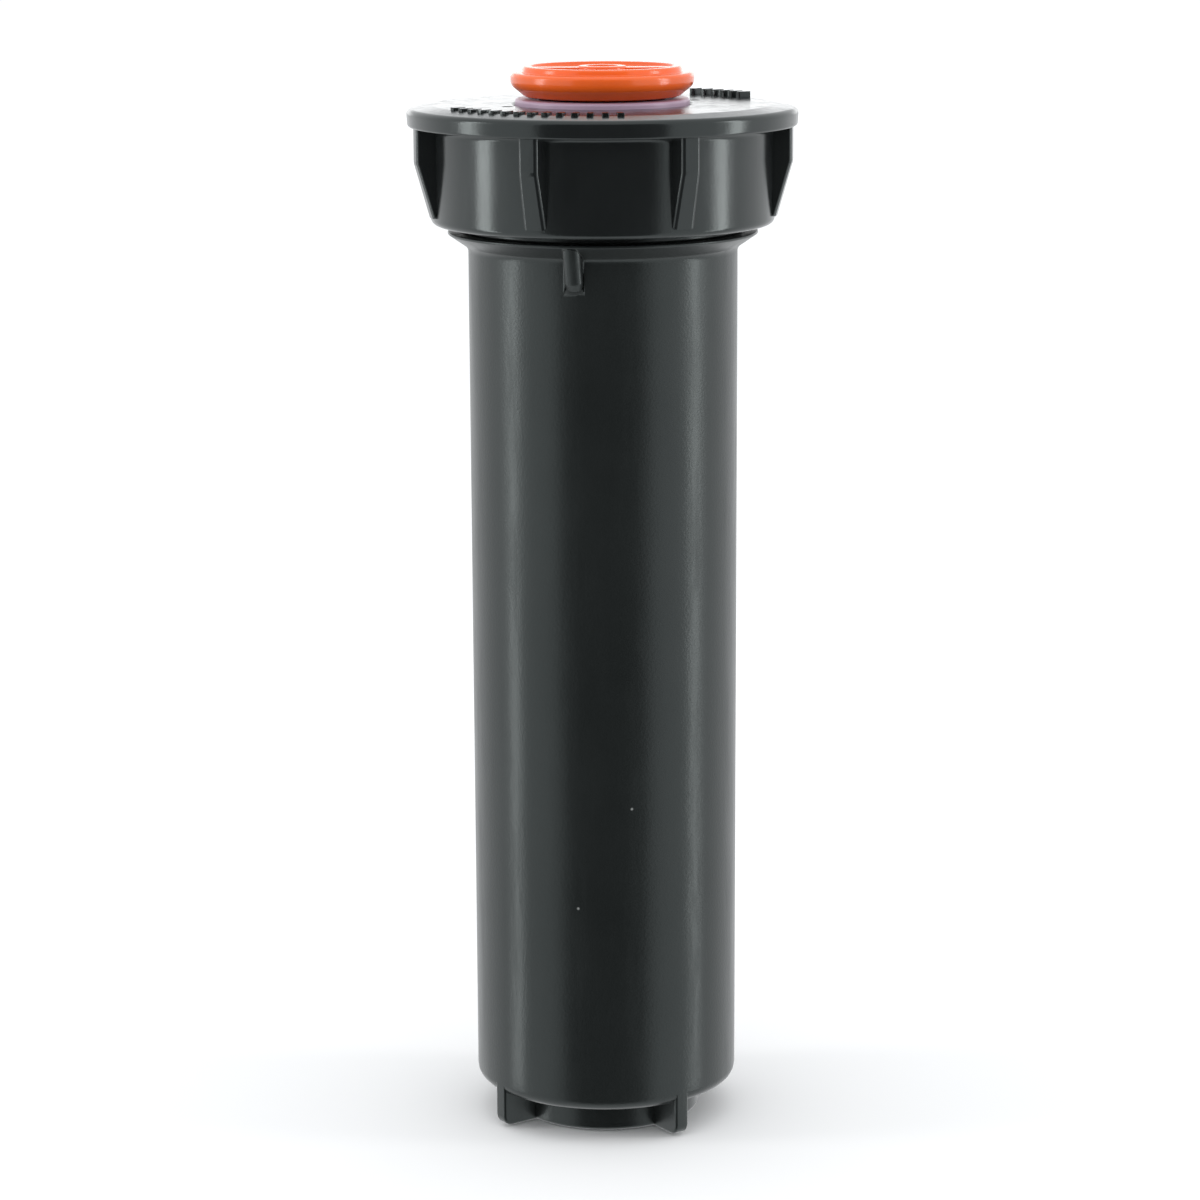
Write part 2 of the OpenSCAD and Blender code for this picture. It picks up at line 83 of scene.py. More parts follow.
def stage_plane(name, width, height, place, turn, colour, rough):
    """A flat sheet of the studio, which isn't part of the object."""
    bm = bmesh.new()
    bmesh.ops.create_grid(bm, x_segments=1, y_segments=1, size=0.5)
    bmesh.ops.scale(bm, vec=(width, height, 1), verts=bm.verts)
    mesh = bpy.data.meshes.new(name)
    bm.to_mesh(mesh)
    bm.free()
    sheet = bpy.data.objects.new(name, mesh)
    bpy.context.scene.collection.objects.link(sheet)
    sheet.location = place
    sheet.rotation_euler = turn
    finish = bpy.data.materials.new(name)
    finish.use_nodes = True
    shader = finish.node_tree.nodes["Principled BSDF"]
    shader.inputs["Base Color"].default_value = (*colour, 1)
    shader.inputs["Roughness"].default_value = rough
    shader.inputs["Specular IOR Level"].default_value = 0
    mesh.materials.append(finish)
    return sheet


floor = stage_plane("floor", floor_size, floor_size, (0, 0, -floor_gap), (0, 0, 0),
                    (0.93, 0.93, 0.93), 1)
floor.visible_glossy = False
card = stage_plane("black_card", 1.5, 2.4, (0, -card_reach, 0), (math.radians(90), 0, 0),
                   (0.012, 0.012, 0.012), 1)
card.visible_camera = False
card.visible_shadow = False
card.visible_diffuse = False

world = bpy.data.worlds.new("surround")
bpy.context.scene.world = world
world.use_nodes = True
world.node_tree.nodes["Background"].inputs["Color"].default_value = (0.97, 0.985, 1.0, 1)
world.node_tree.nodes["Background"].inputs["Strength"].default_value = 1.12


def soft_light(name, width, height, power, bearing, reach, centre_z):
    """A rectangular soft light at a bearing from the front, aimed at the object."""
    lamp = bpy.data.lights.new(name, "AREA")
    lamp.shape = "RECTANGLE"
    lamp.size = width
    lamp.size_y = height
    lamp.energy = power
    light = bpy.data.objects.new(name, lamp)
    bpy.context.scene.collection.objects.link(light)
    swing = math.radians(bearing)
    light.location = (reach * math.sin(swing), -reach * math.cos(swing), centre_z)
    aim = Vector((0, 0, look_z)) - light.location
    light.rotation_euler = aim.to_track_quat("-Z", "Y").to_euler()
    light.visible_camera = False


soft_light("strip_left", 0.16, 0.9, 2.7, -84, 0.8, 0.12)
soft_light("strip_right", 0.16, 0.9, 2.55, 84, 0.8, 0.12)
soft_light("back_light", 2.6, 0.5, 3.4, 180, 2.4, 0.36)
bpy.context.scene.view_settings.view_transform = "Standard"


# ---- Case --------------------------------------------------------------------------------------
# The body: one black moulding in a weather-resistant plastic, with its inlet socket, four fins,
# collar with gussets, coarse neck thread and four guide ribs inside. Its skin is a fine satin.
case_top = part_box("case")[1]
cap_low, cap_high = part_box("cap")
rim_z = case_top.z / MM
skirt_z = cap_low.z / MM
sink = 0.5
quarters = 4
quarter = 360 / quarters
case_r = 19.7
case_foot_r = 19.6
case_edge = 1.8
bore_r = 17.3
boss_r = 14.0
neck_r = 20.3
collar_r = 22.7
collar_z = skirt_z - 1.0
collar_foot_z = collar_z - 2.4
gusset_count = 3
gusset_turn = 18
gusset_w = 2.6
gusset_root_r = case_r - 1.6
gusset_foot_z = collar_z - 7.0
gusset_top_z = collar_z - 0.6
fin_turn = 35.3
fin_h = 4.8
fin_w = 2.3
fin_root_r = boss_r - 0.8
fin_tip_r = case_foot_r - 0.02
fin_root_z = fin_h + 2
floor_z = fin_h + 3
guide_r = 16.1
guide_w = 2.0
guide_top_z = 129.2
guide_root_r = bore_r + 0.6
guide_root_z = floor_z - 0.6
inlet_r = 9.16
inlet_depth = 16
socket_r = inlet_r + 2.6
seat_z = inlet_depth + 1.6
stop_r = inlet_r - 1.6
neck_thread_z = skirt_z + 2.9
coarse_h = 1.5
coarse_thread = {"pitch": 3.0, "turns": 2.25, "root_w": 1.5, "crest_w": 0.8}
pipe_thread_z = 1.8
pipe_h = 0.55
pipe_thread = {"pitch": 1.814, "turns": 7.5, "root_w": 1.35, "crest_w": 0.35}
gate_r = 2.2
gate_h = 0.25
relief = 0.2 * MM
plain_low_z = fin_h + 3.6
plain_high_z = gusset_foot_z - 0.6


def rounded(corners, steps=5):
    """Points of an outline from corners (x, y, radius): each radius above 0 becomes an arc."""
    points = []
    for i, (x, y, radius) in enumerate(corners):
        corner = Vector((x, y))
        before = Vector(corners[i - 1][:2]) - corner
        after = Vector(corners[(i + 1) % len(corners)][:2]) - corner
        if radius <= 0:
            points.append(corner)
            continue
        opening = before.angle(after)
        reach = min(radius / math.tan(opening / 2), before.length * 0.49, after.length * 0.49)
        radius = reach * math.tan(opening / 2)
        middle = corner + (before.normalized() + after.normalized()).normalized() * (
            radius / math.sin(opening / 2))
        start = corner + before.normalized() * reach - middle
        finish = corner + after.normalized() * reach - middle
        sweep = start.angle_signed(finish)
        for k in range(steps + 1):
            points.append(middle + Matrix.Rotation(-sweep * k / steps, 2) @ start)
    return points


def piece_from(bm, name):
    """A finished mesh object from a bmesh in millimetres, at the origin, faces pointing outwards."""
    bmesh.ops.remove_doubles(bm, verts=bm.verts, dist=0.002)
    bmesh.ops.recalc_face_normals(bm, faces=bm.faces)
    if bm.calc_volume(signed=True) < 0:
        bmesh.ops.reverse_faces(bm, faces=bm.faces)
    bmesh.ops.scale(bm, vec=(MM, MM, MM), verts=bm.verts)
    mesh = bpy.data.meshes.new(name)
    bm.to_mesh(mesh)
    bm.free()
    made = bpy.data.objects.new(name, mesh)
    bpy.context.scene.collection.objects.link(made)
    return made


def turned(corners, around=192, steps=5):
    """A bmesh turned on the axis from a closed outline of (radius, height, corner radius)."""
    bm = bmesh.new()
    ring = [bm.verts.new((p.x, 0, p.y)) for p in rounded(corners, steps)]
    edges = [bm.edges.new((ring[i - 1], ring[i])) for i in range(len(ring))
             if max(ring[i - 1].co.x, ring[i].co.x) > 0]
    bmesh.ops.spin(bm, geom=ring + edges, axis=(0, 0, 1), cent=(0, 0, 0), steps=around,
                   angle=math.tau, use_merge=True)
    bmesh.ops.remove_doubles(bm, verts=bm.verts, dist=0.002)
    bmesh.ops.recalc_face_normals(bm, faces=bm.faces)
    return bm


def plate(corners, thickness, edge, steps=4):
    """A bmesh of a flat plate on edge in the XZ plane, its outline rounded and its rims broken."""
    bm = bmesh.new()
    front = bm.faces.new([bm.verts.new((p.x, -thickness / 2, p.y)) for p in rounded(corners, steps)])
    pushed = bmesh.ops.extrude_face_region(bm, geom=[front])
    bmesh.ops.translate(bm, vec=(0, thickness, 0),
                        verts=[v for v in pushed["geom"] if isinstance(v, bmesh.types.BMVert)])
    rims = [e for e in bm.edges if abs(e.verts[0].co.y - e.verts[1].co.y) < 1e-6]
    bmesh.ops.bevel(bm, geom=rims, offset=edge, segments=3, profile=0.5, affect="EDGES", material=-1)
    bmesh.ops.recalc_face_normals(bm, faces=bm.faces)
    return bm


def thread(root_r, crest_r, start_z, pitch, turns, root_w, crest_w, per_turn=96):
    """A bmesh of a right-hand ridge wound round the axis, its free edge at crest_r."""
    bm = bmesh.new()
    section = [bm.verts.new((r, 0, start_z + z)) for r, z in (
        (root_r, -root_w / 2), (crest_r, -crest_w / 2), (crest_r, crest_w / 2), (root_r, root_w / 2))]
    face = bm.faces.new(section)
    steps = int(per_turn * turns)
    bmesh.ops.spin(bm, geom=[face], axis=(0, 0, 1), cent=(0, 0, 0), steps=steps,
                   angle=math.tau * turns, dvec=(0, 0, pitch / per_turn), use_merge=False)
    bmesh.ops.recalc_face_normals(bm, faces=bm.faces)
    return bm


def joined(name, base, others, takes_away=()):
    """One closed piece: base with the others added, and then those in takes_away cut out."""
    made = piece_from(base, name)
    for kind, group in (("UNION", others), ("DIFFERENCE", takes_away)):
        for k, bm in enumerate(group):
            tool = piece_from(bm, f"{name}_{kind.lower()}_{k}")
            step = made.modifiers.new("join", "BOOLEAN")
            step.operation = kind
            step.solver = "EXACT"
            step.object = tool
            bpy.context.view_layer.update()
            shape = bpy.data.meshes.new_from_object(
                made.evaluated_get(bpy.context.evaluated_depsgraph_get()))
            made.modifiers.clear()
            made.data = shape
            bpy.data.objects.remove(tool)
    return made


def swung(bm, turn):
    """The bmesh turned about the axis by so many degrees."""
    about_axis = Matrix.Rotation(math.radians(turn), 3, "Z")
    bmesh.ops.rotate(bm, verts=bm.verts, cent=(0, 0, 0), matrix=about_axis)
    return bm


def smooth_skin(made, sharp=32):
    """Smooth shading that stays crisp where two faces meet at more than so many degrees."""
    made.data.shade_smooth()
    made.data.set_sharp_from_angle(angle=math.radians(sharp))
    skin = made.modifiers.new("skin", "WEIGHTED_NORMAL")
    skin.keep_sharp = True


def node(tree, kind, **values):
    """A shader node, with its sockets and settings given by name."""
    made = tree.nodes.new(kind)
    for key, value in values.items():
        if key in made.inputs:
            made.inputs[key].default_value = value
        else:
            setattr(made, key, value)
    return made


def remapped(tree, source, low, high, least=0.0, most=1.0):
    """The values of a socket between low and high, taken to between least and most."""
    made = tree.nodes.new("ShaderNodeMapRange")
    for key, value in (("From Min", low), ("From Max", high), ("To Min", least), ("To Max", most)):
        made.inputs[key].default_value = value
    tree.links.new(source, made.inputs["Value"])
    return made.outputs["Result"]


def moulded(name, deep, pale, rough, grain=0.05, grain_size=2600, flow=0.35, dust=0.0,
            sheen=(1, 1, 1)):
    """Moulded plastic: cloudy flow in the colour, a fine grain, faint rubs, uneven gloss and dust."""
    scuff = 0.12
    stuff = bpy.data.materials.new(name)
    stuff.use_nodes = True
    tree = stuff.node_tree
    shader = tree.nodes["Principled BSDF"]
    place = node(tree, "ShaderNodeTexCoord")
    cloud = node(tree, "ShaderNodeTexNoise", Scale=38.0, Detail=5.0, Roughness=0.6)
    tint = node(tree, "ShaderNodeMix", data_type="RGBA")
    tint.inputs["A"].default_value = (*deep, 1)
    tint.inputs["B"].default_value = (*pale, 1)
    tree.links.new(place.outputs["Object"], cloud.inputs["Vector"])
    tree.links.new(remapped(tree, cloud.outputs["Fac"], 0.3, 0.7), tint.inputs["Factor"])
    speck = node(tree, "ShaderNodeTexVoronoi", Scale=75.0)
    dusted = node(tree, "ShaderNodeMix", data_type="RGBA")
    dusted.inputs["B"].default_value = (0.35, 0.36, 0.35, 1)
    tree.links.new(place.outputs["Object"], speck.inputs["Vector"])
    near_speck = remapped(tree, speck.outputs["Distance"], 0.022, 0.010, most=dust)
    tree.links.new(near_speck, dusted.inputs["Factor"])
    tree.links.new(tint.outputs["Result"], dusted.inputs["A"])
    tree.links.new(dusted.outputs["Result"], shader.inputs["Base Color"])

    rub_place = node(tree, "ShaderNodeMapping")
    rub_place.inputs["Scale"].default_value = (1.0, 1.0, 0.12)
    rub = node(tree, "ShaderNodeTexNoise", Scale=420.0, Detail=8.0, Roughness=0.72)
    tree.links.new(place.outputs["Object"], rub_place.inputs["Vector"])
    tree.links.new(rub_place.outputs["Vector"], rub.inputs["Vector"])
    rubbed = remapped(tree, rub.outputs["Fac"], 0.45, 0.8, rough, rough + scuff)
    tree.links.new(rubbed, shader.inputs["Roughness"])

    fine = node(tree, "ShaderNodeTexNoise", Scale=float(grain_size), Detail=3.0, Roughness=0.5)
    ripple = node(tree, "ShaderNodeTexNoise", Scale=60.0, Detail=2.0, Roughness=0.5)
    fine_bump = node(tree, "ShaderNodeBump", Strength=grain, Distance=relief)
    ripple_bump = node(tree, "ShaderNodeBump", Strength=flow, Distance=relief)
    tree.links.new(place.outputs["Object"], fine.inputs["Vector"])
    tree.links.new(place.outputs["Object"], ripple.inputs["Vector"])
    tree.links.new(ripple.outputs["Fac"], ripple_bump.inputs["Height"])
    tree.links.new(fine.outputs["Fac"], fine_bump.inputs["Height"])
    tree.links.new(ripple_bump.outputs["Normal"], fine_bump.inputs["Normal"])
    tree.links.new(fine_bump.outputs["Normal"], shader.inputs["Normal"])
    shader.inputs["Specular Tint"].default_value = (*sheen, 1)
    return stuff


def dress(made, stuff, body, slot_name, *stands_for):
    """Give a made piece its material and its body, and hide the CAD nodes that it stands for. slot_name
    is not used.
    """
    made.data.materials.clear()
    made.data.materials.append(stuff)
    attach(made, body)
    if stands_for:
        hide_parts(*stands_for)


def repeated(bm, count, step):
    """The bmesh with copies of its shape set round the axis, so many degrees apart."""
    bmesh.ops.spin(bm, geom=bm.verts[:] + bm.edges[:] + bm.faces[:], axis=(0, 0, 1), cent=(0, 0, 0),
                   steps=count - 1, angle=math.radians(step * (count - 1)), use_duplicate=True)
    return bm


def leaned(bm, tip_r, root_r, gain):
    """The bmesh of a plate made thicker from its tip to its root, the moulding draft of a rib."""
    for vert in bm.verts:
        share = min(1, max(0, (tip_r - vert.co.x) / (tip_r - root_r)))
        vert.co.y *= 1 + gain * share
    return bm


# The two corners of no radius part the plain wall from the faces that fins and gussets cut into.
case_wall = turned([
    (inlet_r, 0, 0.7), (boss_r, 0, 0.6), (boss_r, fin_h, 0.6), (case_foot_r, fin_h, case_edge),
    (case_foot_r, plain_low_z, 0), (case_r, plain_high_z, 0), (case_r, collar_foot_z, 1.2),
    (collar_r, collar_z - 0.35, 0.3), (collar_r - 0.05, collar_z, 0.2), (neck_r, collar_z, 0.3),
    (neck_r, rim_z, 0.5), (bore_r, rim_z, 0.4), (bore_r, floor_z, 1.0),
    (socket_r, floor_z, 0.8), (socket_r, seat_z, 0.4), (stop_r, seat_z, 0.4),
    (stop_r, inlet_depth, 0.2), (inlet_r, inlet_depth, 0.2)])
case_fittings = []
for i in range(quarters):
    fin = plate([(fin_root_r, 0, 0), (fin_tip_r, 0, 1.5), (fin_tip_r, fin_root_z, 0),
                 (fin_root_r, fin_root_z, 0)], fin_w, 0.4)
    case_fittings.append(swung(fin, fin_turn + i * quarter))
    guide = plate([(guide_r, guide_root_z, 0), (guide_root_r, guide_root_z, 0),
                   (guide_root_r, guide_top_z, 0), (guide_r, guide_top_z, 1.0)], guide_w, 0.2)
    case_fittings.append(swung(guide, i * quarter))
for i in range(gusset_count):
    gusset = plate([(gusset_root_r, gusset_foot_z, 0), (case_r + 0.2, gusset_foot_z, 0.6),
                    (case_r + 1.1, gusset_foot_z + 1.1, 1.2), (collar_r - 0.1, gusset_top_z, 0),
                    (gusset_root_r, gusset_top_z, 0)], gusset_w, 1.0)
    case_fittings.append(swung(gusset, gusset_turn + i * 360 / gusset_count))
case_fittings.append(thread(neck_r - sink, neck_r + coarse_h, neck_thread_z, **coarse_thread))
case_fittings.append(thread(inlet_r + sink, inlet_r - pipe_h, pipe_thread_z, **pipe_thread))
gate = turned([(0, fin_h + sink, 0), (gate_r, fin_h + sink, 0), (gate_r, fin_h - gate_h, 0.15),
               (0, fin_h - gate_h, 0)], around=32)
bmesh.ops.translate(gate, vec=((boss_r + case_foot_r) / 2, 0, 0), verts=gate.verts)
case_fittings.append(gate)
case = joined("sprinkler_case", case_wall, case_fittings)
smooth_skin(case)
case_black = moulded("case_black", deep=(0.0095, 0.0112, 0.0110), pale=(0.0138, 0.0158, 0.0156),
                     rough=0.28, grain=0.10, flow=0.28, dust=0.7, sheen=(0.78, 0.87, 0.86))
dress(case, case_black, "case", "case_plastic", "case")


# ---- Cap ---------------------------------------------------------------------------------------
# The screw cap: glossy black, with a broad flange level with the lawn, seven grip ribs down its
# skirt, a coarse thread inside, two rows of raised bars on its face, and ejector pin marks.
cad_mark_h = 0.6
cap_top_z = cap_high.z / MM - cad_mark_h
flange_r = cap_high.x / MM
plate_z = cap_top_z - 3
flange_z = cap_top_z - 3.1
skirt_r = 25.1
cap_root_r = 22.2
grip_r = 27.8
grip_shoulder_z = flange_z - 4.9
grip_foot_z = skirt_z + 1.3
opening_r = 12.95
grip_root = 1.8
grip_w = 2.8
grip_draft = 0.22
grip_count = 7
grip_turn = 40.8
grip_pairing = 1.4
crown_r = flange_r - 3.8
crown_drop = 0.55
cap_thread_z = neck_thread_z + coarse_thread["pitch"] / 2
mark_r = flange_r - 4.6
mark_reach = 1
mark_w = 1.0
mark_step = 5
pin_r = 0.85
above = 1

cap_shell = turned([
    (cap_root_r, skirt_z, 0.6), (skirt_r, skirt_z, 1.0), (skirt_r, flange_z, 0.9),
    (flange_r - 0.15, flange_z, 0.45), (flange_r, cap_top_z - crown_drop, 0.9),
    (crown_r, cap_top_z, 3), (opening_r, cap_top_z, 0.5),
    (opening_r, plate_z, 0.2), (cap_root_r, plate_z, 0.5)], steps=6)
cap_fittings = []
for i in range(grip_count):
    grip = plate([(skirt_r - grip_root, grip_foot_z, 0), (skirt_r + 0.4, grip_foot_z, 0),
                  (grip_r, grip_shoulder_z, 2.5), (grip_r, flange_z + grip_root, 0),
                  (skirt_r - grip_root, flange_z + grip_root, 0)], grip_w, 0.5)
    leaned(grip, grip_r, skirt_r, grip_draft)
    nudge = grip_pairing if i % 2 == 0 else -grip_pairing
    cap_fittings.append(swung(grip, grip_turn + i * 360 / grip_count + nudge))
cap_fittings.append(thread(cap_root_r + sink, cap_root_r - coarse_h, cap_thread_z, **coarse_thread))
for start, bars, height in ((211, 14, 0.4), (29, 6, 0.9)):
    mark = plate([(mark_r - mark_reach, cap_top_z - sink, 0), (mark_r + mark_reach, cap_top_z - sink, 0),
                  (mark_r + mark_reach, cap_top_z + height, 0),
                  (mark_r - mark_reach, cap_top_z + height, 0)], mark_w, 0.15)
    cap_fittings.append(repeated(swung(mark, start), bars, mark_step))
pins = []
for side in (0, 180):
    for reach, bearing in ((14.9, 24), (20.9, 28.5)):
        pin = turned([(0, cap_top_z - sink, 0), (pin_r, cap_top_z - sink, 0.15),
                      (pin_r, cap_top_z + above, 0), (0, cap_top_z + above, 0)], around=32)
        bmesh.ops.translate(pin, vec=(reach, 0, 0), verts=pin.verts)
        pins.append(swung(pin, side + bearing))
cap = joined("screw_cap", cap_shell, cap_fittings, pins)
smooth_skin(cap)
cap_black = moulded("cap_black", deep=(0.0082, 0.0094, 0.0095), pale=(0.0120, 0.0135, 0.0137),
                    rough=0.17, grain=0.05, flow=0.30, dust=0.5, sheen=(0.90, 1, 0.985))
dress(cap, cap_black, "cap", "cap_plastic", "cap")


# ---- Wiper seal --------------------------------------------------------------------------------
# A moulded elastomer ring. Its light mauve colour is a painted highlight with a purple fringe on
# the neck, which stands out of the cap round the riser; its lips wipe the riser clean, and its
# flange is clamped between the cap and the case's rim.
riser_r = 9.5
seal_r = riser_r + 0.05
seal_neck_r = 12.7
seal_top_z = cap_top_z + 0.8
seal_flange_r = neck_r - 0.5
wiper_z = rim_z - 6.5
web_z = rim_z - 0.8
outer_lip_z = rim_z - 5.5
outer_lip_w = 1
support_gap = 0.4
support_wall = 1.8
support_bore_r = bore_r - support_gap - support_wall
seal_lip_r = support_bore_r - 0.2
seal = piece_from(turned([
    (seal_r, wiper_z, 0.15), (seal_r + 0.6, wiper_z, 0.15), (seal_r + 1.2, web_z, 0.5),
    (seal_lip_r - outer_lip_w, web_z, 0.4), (seal_lip_r - outer_lip_w, outer_lip_z, 0.3),
    (seal_lip_r, outer_lip_z, 0.3), (seal_lip_r, rim_z, 0.2), (seal_flange_r, rim_z, 0.2),
    (seal_flange_r, plate_z, 0.2), (seal_neck_r, plate_z, 0), (seal_neck_r, seal_top_z, 0.45),
    (seal_r + 0.35, seal_top_z, 0.2), (seal_r, seal_top_z - 0.5, 0.2)], around=160), "wiper_seal_ring")
smooth_skin(seal)
# The light mauve base colour is a painted highlight with a purple fringe round the riser.
seal_mauve = moulded("seal_mauve", deep=(0.37, 0.245, 0.34), pale=(0.50, 0.36, 0.47), rough=0.32,
                     grain=0.12, grain_size=1800, flow=0.2)
dress(seal, seal_mauve, "seal_set", "seal_mauve", "wiper_seal")


# ---- Flush plug --------------------------------------------------------------------------------
# The orange plug that keeps dirt out of the riser until the nozzle goes in: a dished disc with a
# raised ring, a pull bar and a hub, on a hollow spigot with a groove for its O-ring.
plug_low, plug_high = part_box("flush_plug")
plug_r = plug_high.x / MM
plug_top_z = plug_high.z / MM
plug_rim_z = plug_top_z - 0.9
plug_z = plug_rim_z - 3.5
plug_ring_r = plug_r - 1.8
plug_dish_r = plug_ring_r - 1.4
plug_dish_z = plug_top_z - 0.5
plug_roof_z = plug_dish_z - 1.8
spigot_z = plug_low.z / MM
spigot_r = 7.6
spigot_bore_r = 4.8
groove_r = 6.25
groove_z = plug_z - 8.5
groove_low_z = groove_z - 0.85
groove_high_z = groove_z + 0.85
bar_reach = plug_dish_r + 0.5
bar_w = 2.6
bar_top_z = plug_top_z - 0.2
hub_r = 3.6
hub_bore_r = 2.3
hub_floor_z = plug_top_z - 0.4
plug_shell = turned([
    (0, plug_roof_z, 0), (spigot_bore_r, plug_roof_z, 0.5), (spigot_bore_r, spigot_z, 0.4),
    (spigot_r, spigot_z, 0.6), (spigot_r, groove_low_z, 0.1), (groove_r, groove_low_z, 0.1),
    (groove_r, groove_high_z, 0.1), (spigot_r, groove_high_z, 0.1), (spigot_r, plug_z, 0.3),
    (plug_r - 2.1, plug_z, 1.2), (plug_r, plug_z + 1.7, 1.5), (plug_r, plug_rim_z, 0.6),
    (plug_ring_r + 0.15, plug_rim_z, 0.3), (plug_ring_r, plug_top_z, 0.4),
    (plug_dish_r + 0.3, plug_top_z, 0.3), (plug_dish_r, plug_dish_z, 0.4), (0, plug_dish_z, 0)],
    around=160)
bar = plate([(-bar_reach, plug_dish_z - sink, 0), (bar_reach, plug_dish_z - sink, 0),
             (bar_reach, bar_top_z, 0), (-bar_reach, bar_top_z, 0)], bar_w, 0.2)
hub = turned([(0, plug_dish_z - sink, 0), (hub_r, plug_dish_z - sink, 0), (hub_r, plug_top_z, 0.35),
              (hub_bore_r, plug_top_z, 0.25), (hub_bore_r - 0.2, hub_floor_z, 0.2), (0, hub_floor_z, 0)],
             around=64)
plug = joined("flush_plug_disc", plug_shell, [bar, hub])
smooth_skin(plug)
plug_orange = moulded("plug_orange", deep=(0.76, 0.090, 0.008), pale=(0.90, 0.140, 0.018),
                      rough=0.17, grain=0.06, flow=0.22)
dress(plug, plug_orange, "plug", "plug_plastic", "flush_plug")


# ---- Riser stem --------------------------------------------------------------------------------
# The tube that pops up: polished black plastic, with a rounded mouth for the nozzle, a bell at its
# foot that drops round the inlet socket, and a flange with a ring of ratchet teeth.
stem_low, stem_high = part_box("riser_stem")
foot_z = stem_low.z / MM
stem_top_z = stem_high.z / MM
foot_r = stem_high.x / MM
foot_top_z = foot_z + 2.4
stem_bore_r = 7.9
bell_bore_r = socket_r + 0.4
bell_r = bell_bore_r + 1.2
bell_roof_z = 23.9
shoulder_z = bell_roof_z + 1
tooth_count = 36
tooth_h = 1.2
tooth_w = 2.1
tooth_foot_r = bell_r + 0.6
tooth_tip_r = foot_r - 0.2
tooth_root = 0.3
tooth_lean = 0.3
tooth_land = 0.02


def tooth_ring(root_z, rise):
    """A bmesh of a ring of saw teeth that stand from root_z by rise, up or down."""
    bm = bmesh.new()
    half_w = tooth_w / 2
    sunk_z = root_z - tooth_root * rise
    profile = ((-half_w, sunk_z), (half_w, sunk_z), (half_w, root_z),
               (half_w - tooth_lean, root_z + rise), (-half_w, root_z + tooth_land))
    side = bm.faces.new([bm.verts.new((tooth_foot_r, y, z)) for y, z in profile])
    pushed = bmesh.ops.extrude_face_region(bm, geom=[side])
    bmesh.ops.translate(bm, vec=(tooth_tip_r - tooth_foot_r, 0, 0),
                        verts=[v for v in pushed["geom"] if isinstance(v, bmesh.types.BMVert)])
    bmesh.ops.recalc_face_normals(bm, faces=bm.faces)
    return repeated(bm, tooth_count, 360 / tooth_count)


stem_wall = turned([
    (bell_bore_r, foot_z, 0.3), (foot_r, foot_z, 0.5), (foot_r, foot_top_z, 0.3),
    (bell_r, foot_top_z, 0.3), (bell_r, shoulder_z, 0.8),
    (riser_r, shoulder_z + bell_r - riser_r, 1.2), (riser_r, stem_top_z, 0.6),
    (stem_bore_r, stem_top_z, 0.4), (stem_bore_r, bell_roof_z, 0.3), (bell_bore_r, bell_roof_z, 0.6)],
    around=160)
stem = joined("riser_tube", stem_wall, [tooth_ring(foot_top_z, tooth_h)])
smooth_skin(stem)
riser_black = moulded("riser_black", deep=(0.0092, 0.0105, 0.0106), pale=(0.0135, 0.0152, 0.0155),
                      rough=0.14, grain=0.04, flow=0.2, sheen=(0.90, 1, 0.985))
dress(stem, riser_black, "riser", "riser_plastic", "riser_stem")


# ---- Ratchet ring ------------------------------------------------------------------------------
# A natural acetal ring with four notches, which keep it from turning on the case's guide ribs, and
# teeth under it that hold the riser where it has been aimed. It slides with the riser.
ring_low, ring_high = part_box("ratchet_ring")
ring_r = ring_high.x / MM
ring_foot_z = ring_low.z / MM + tooth_h
ring_top_z = ring_high.z / MM
ring_bore_r = bell_r + 0.4
notch_r = guide_r - 0.4
notch_w = 2.8
beyond = 2
ring_body = turned([(ring_bore_r, ring_foot_z, 0.2), (ring_r, ring_foot_z, 0.3),
                    (ring_r, ring_top_z, 0.3), (ring_bore_r, ring_top_z, 0.3)], around=160)
notches = []
for i in range(quarters):
    notch = plate([(notch_r, ring_foot_z - beyond, 0), (ring_r + beyond, ring_foot_z - beyond, 0),
                   (ring_r + beyond, ring_top_z + beyond, 0), (notch_r, ring_top_z + beyond, 0)],
                  notch_w, 0.2)
    notches.append(swung(notch, i * quarter))
ratchet = joined("ratchet_disc", ring_body, [tooth_ring(ring_foot_z, -tooth_h)], notches)
smooth_skin(ratchet)
acetal = moulded("natural_acetal", deep=(0.66, 0.63, 0.55), pale=(0.74, 0.71, 0.63), rough=0.36,
                 grain=0.1, dust=0.15)
dress(ratchet, acetal, "ratchet", "natural_acetal", "ratchet_ring")


# ---- Seal support ring -------------------------------------------------------------------------
# A grey moulded cup under the seal. It spreads the seal's outer lip against the case and is the
# upper seat of the retract spring.
support_low, support_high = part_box("seal_support_ring")
support_r = support_high.x / MM
spring_top_z = support_low.z / MM
support_hole_r = 10.3
support_floor_z = spring_top_z + 2
support = piece_from(turned([
    (support_hole_r, spring_top_z, 0.3), (support_r, spring_top_z, 0.6), (support_r, rim_z, 0.4),
    (support_bore_r, rim_z, 0.4), (support_bore_r, support_floor_z, 0.6),
    (support_hole_r, support_floor_z, 0.3)], around=160), "seal_support_cup")
smooth_skin(support)
grey = moulded("grey_plastic", deep=(0.075, 0.08, 0.085), pale=(0.10, 0.105, 0.11), rough=0.34,
               grain=0.1, dust=0.1)
dress(support, grey, "seal_set", "grey_plastic", "seal_support_ring")
